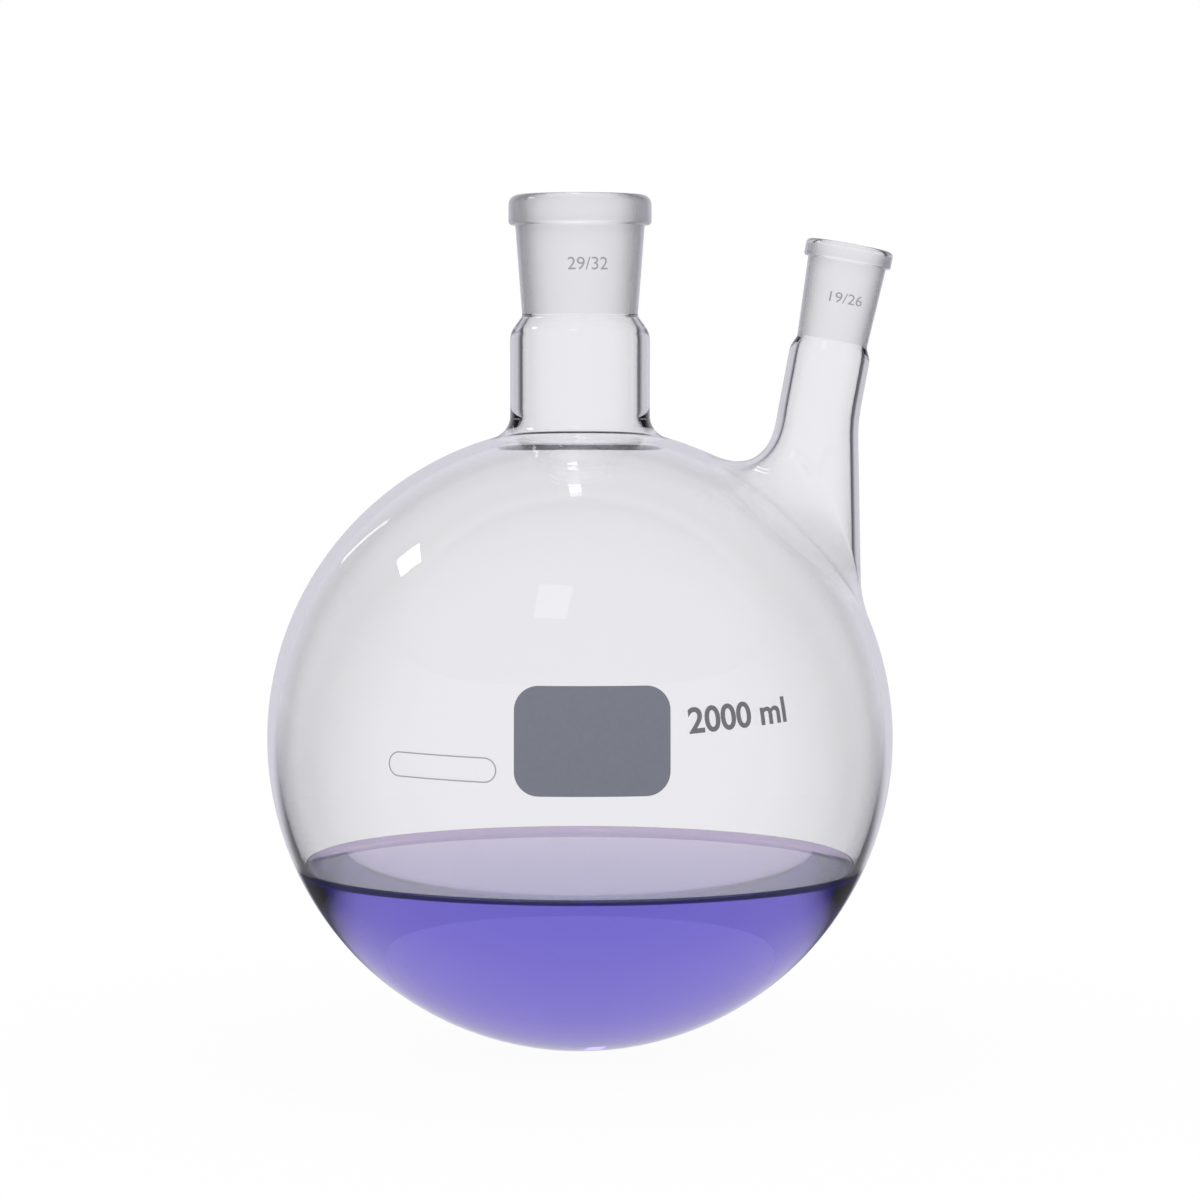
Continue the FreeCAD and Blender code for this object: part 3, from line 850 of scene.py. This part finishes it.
# How many surfaces lie before what is seen through one wall of glass, and through the whole empty bulb, and
# how much of the studio is left behind one wall, which is what shows at every outline
ONE_WALL = 2
EMPTY_BULB = 4
ONE_WALL_SHARE = 0.84

# The floor, in metres. Near the flask only FLOOR_GLOW of it glows, so that it keeps a shadow, which fades out
# over SHADOW_REACH.
FLOOR_WIDTH = 6.0
FLOOR_LEVEL = -0.0003
FLOOR_COLOUR = (0.9, 0.9, 0.9)
FLOOR_ROUGHNESS = 0.9
FLOOR_GLOW = 0.96
SHADOW_REACH = (0.05, 0.35)

CAMERA_PLACE = (0, -1.0, 0.181)
CAMERA_PITCH = math.radians(3.51)
CAMERA_LENS = 113.13
CAMERA_SHIFT = 20 / 1200


def grey(level):
    return (level, level, level)


def seen_not_lit(tree, path):
    """1 for what is seen directly, in a reflection or through glass, and 0 for what lights a matt surface."""
    reflected = worked_out(tree, "MAXIMUM", path.outputs["Is Camera Ray"], path.outputs["Is Glossy Ray"])
    return worked_out(tree, "MAXIMUM", reflected, path.outputs["Is Transmission Ray"])


def at_most(tree, count, limit):
    """1 where a count is no more than the limit, and 0 elsewhere."""
    return worked_out(tree, "LESS_THAN", count, limit + 0.5)


def fade_over(tree, value, start, end, low, high):
    """Goes softly from low to high as a value goes from start to end."""
    fade = add_node(tree, "ShaderNodeMapRange", interpolation_type="SMOOTHSTEP")
    for name, number in (("From Min", start), ("From Max", end), ("To Min", low), ("To Max", high)):
        put(tree, fade.inputs[name], number)
    put(tree, fade.inputs["Value"], value)
    return fade.outputs["Result"]


def parts_of(tree, direction):
    parts = add_node(tree, "ShaderNodeSeparateXYZ")
    put(tree, parts.inputs[0], direction)
    return parts.outputs


def studio_ramp(tree, share):
    """The colour of the studio by how far a direction points away from the camera, from 0 to 1."""
    ramp = add_node(tree, "ShaderNodeValToRGB")
    stops = ramp.color_ramp.elements
    for place, _ in STUDIO_LEVELS[1:-1]:
        stops.new(place)
    for stop, (place, level) in zip(stops, STUDIO_LEVELS):
        stop.position = place
        stop.color = (*(level * part for part in STUDIO_TINT), 1)
    put(tree, ramp.inputs["Fac"], share)
    return ramp.outputs["Color"]


def studio_level(tree, direction):
    """How bright the studio is in a direction from the flask: a white wall behind it, dark boards at both
    sides of that, a room that is lighter towards the camera, and some light from above and below."""
    parts = parts_of(tree, direction)
    share = add_node(tree, "ShaderNodeMapRange")
    put(tree, share.inputs["From Min"], -1.0)
    put(tree, share.inputs["Value"], parts["Y"])
    level = studio_ramp(tree, share.outputs["Result"])
    for start, full, brightness in (LIGHT_ABOVE, LIGHT_BELOW):
        light = fade_over(tree, parts["Z"], start, full, 0.0, brightness)
        level = colour_between(tree, 1.0, level, light, blend="LIGHTEN")
    return level


def reflected_level(tree, path, direction):
    """What shows in a reflection: the studio, and less of it behind a single wall of glass."""
    level = studio_level(tree, direction)
    dimmed = colour_between(tree, 1.0, level, grey(ONE_WALL_SHARE), blend="MULTIPLY")
    return colour_between(tree, at_most(tree, path.outputs["Transmission Depth"], ONE_WALL), level, dimmed)


def board_level(tree, direction):
    """How bright the studio is behind the liquid, which turns it over: white, with a dark board at each
    side."""
    sideways = worked_out(tree, "ABSOLUTE", parts_of(tree, direction)["X"])
    begun = fade_over(tree, sideways, *BOARD_START, 0.0, 1.0)
    not_ended = fade_over(tree, sideways, *BOARD_END, 1.0, 0.0)
    return colour_between(tree, worked_out(tree, "MULTIPLY", begun, not_ended), WHITE, BOARD_COLOUR)


def make_world():
    """White where it is seen directly or straight through the empty glass. The studio shows in what the
    glass reflects, and its boards in what the liquid bends, which lies behind more surfaces."""
    world = bpy.data.worlds.new("studio")
    bpy.context.scene.world = world
    world.use_nodes = True
    tree = world.node_tree
    direction = add_node(tree, "ShaderNodeTexCoord").outputs["Generated"]
    path = add_node(tree, "ShaderNodeLightPath")
    empty = at_most(tree, path.outputs["Transmission Depth"], EMPTY_BULB)
    straight = at_most(tree, path.outputs["Glossy Depth"], 0)
    through = colour_between(tree, empty, board_level(tree, direction), WHITE)
    shown = colour_between(tree, straight, reflected_level(tree, path, direction), through)
    lit = colour_between(tree, seen_not_lit(tree, path), grey(LIGHT_LEVEL), shown)
    put(tree, tree.nodes["Background"].inputs["Color"], lit)


def from_middle(tree, place):
    """The direction of a place as it is seen from the middle of the bulb."""
    away = add_node(tree, "ShaderNodeVectorMath", operation="SUBTRACT")
    direction = add_node(tree, "ShaderNodeVectorMath", operation="NORMALIZE")
    put(tree, away.inputs[0], place)
    put(tree, away.inputs[1], MIDDLE * MM)
    put(tree, direction.inputs[0], away.outputs[0])
    return direction.outputs[0]


def pale_floor():
    """White where it is seen, apart from a little shadow, and the studio where it is reflected."""
    material, tree, shader, output = new_material("pale floor")
    put(tree, shader.inputs["Base Color"], FLOOR_COLOUR)
    put(tree, shader.inputs["Roughness"], FLOOR_ROUGHNESS)
    place = add_node(tree, "ShaderNodeTexCoord").outputs["Object"]
    path = add_node(tree, "ShaderNodeLightPath")
    straight = at_most(tree, path.outputs["Glossy Depth"], 0)
    reflected = reflected_level(tree, path, from_middle(tree, place))
    glow = add_node(tree, "ShaderNodeEmission")
    put(tree, glow.inputs["Color"], colour_between(tree, straight, reflected, WHITE))
    reach = add_node(tree, "ShaderNodeVectorMath", operation="LENGTH")
    put(tree, reach.inputs[0], place)
    share = fade_over(tree, reach.outputs["Value"], *SHADOW_REACH, FLOOR_GLOW, 1.0)
    mix = add_node(tree, "ShaderNodeMixShader")
    put(tree, mix.inputs[0], worked_out(tree, "MULTIPLY", share, seen_not_lit(tree, path)))
    put(tree, mix.inputs[1], shader.outputs[0])
    put(tree, mix.inputs[2], glow.outputs[0])
    put(tree, output.inputs["Surface"], mix.outputs[0])
    return material


def make_floor():
    half = FLOOR_WIDTH / 2
    corners = [(-half, -half), (half, -half), (half, half), (-half, half)]
    mesh = bpy.data.meshes.new("floor")
    mesh.from_pydata([(across, deep, FLOOR_LEVEL) for across, deep in corners], [], [(0, 1, 2, 3)])
    mesh.materials.append(pale_floor())
    floor = bpy.data.objects.new("floor", mesh)
    bpy.context.scene.collection.objects.link(floor)


def add_lamp(name, place, aim, width, height, glow, through_glass=False):
    """A soft lamp, in metres, aimed at a height on the flask's axis. Its surface glows, and 1 is white."""
    light = bpy.data.lights.new(name, "AREA")
    light.shape = "RECTANGLE"
    light.size = width
    light.size_y = height
    light.energy = glow * math.pi * width * height
    lamp = bpy.data.objects.new(name, light)
    bpy.context.scene.collection.objects.link(lamp)
    turn = (Vector((0, 0, aim)) - Vector(place)).to_track_quat("-Z", "Y")
    lamp.matrix_world = Matrix.Translation(place) @ turn.to_matrix().to_4x4()
    lamp.visible_camera = False
    lamp.visible_transmission = through_glass


def make_camera():
    camera = bpy.data.cameras.new("camera")
    camera.lens = CAMERA_LENS
    camera.sensor_width = 36
    camera.shift_x = CAMERA_SHIFT
    camera.clip_end = 50
    holder = bpy.data.objects.new("camera", camera)
    bpy.context.scene.collection.objects.link(holder)
    holder.location = CAMERA_PLACE
    holder.rotation_euler = (math.pi / 2 - CAMERA_PITCH, 0, 0)
    bpy.context.scene.camera = holder


make_world()
make_floor()
add_lamp("window", (-0.725, 0.202, 0.819), aim=0.12, width=0.16, height=0.12, glow=9.0)
add_lamp("overhead", (-0.033, 0.44, 1.0), aim=0.13, width=0.05, height=0.5, glow=3.0, through_glass=True)
add_lamp("front", (-0.157, -0.626, 0.943), aim=0.12, width=0.2, height=0.24, glow=1.5)
add_lamp("streak", (-0.566, 0.713, 0.54), aim=0.12, width=0.03, height=0.2, glow=2.0)
make_camera()

scene = bpy.context.scene
scene.view_settings.view_transform = "Standard"
scene.cycles.max_bounces = 32
scene.cycles.transmission_bounces = 32
scene.cycles.glossy_bounces = 12
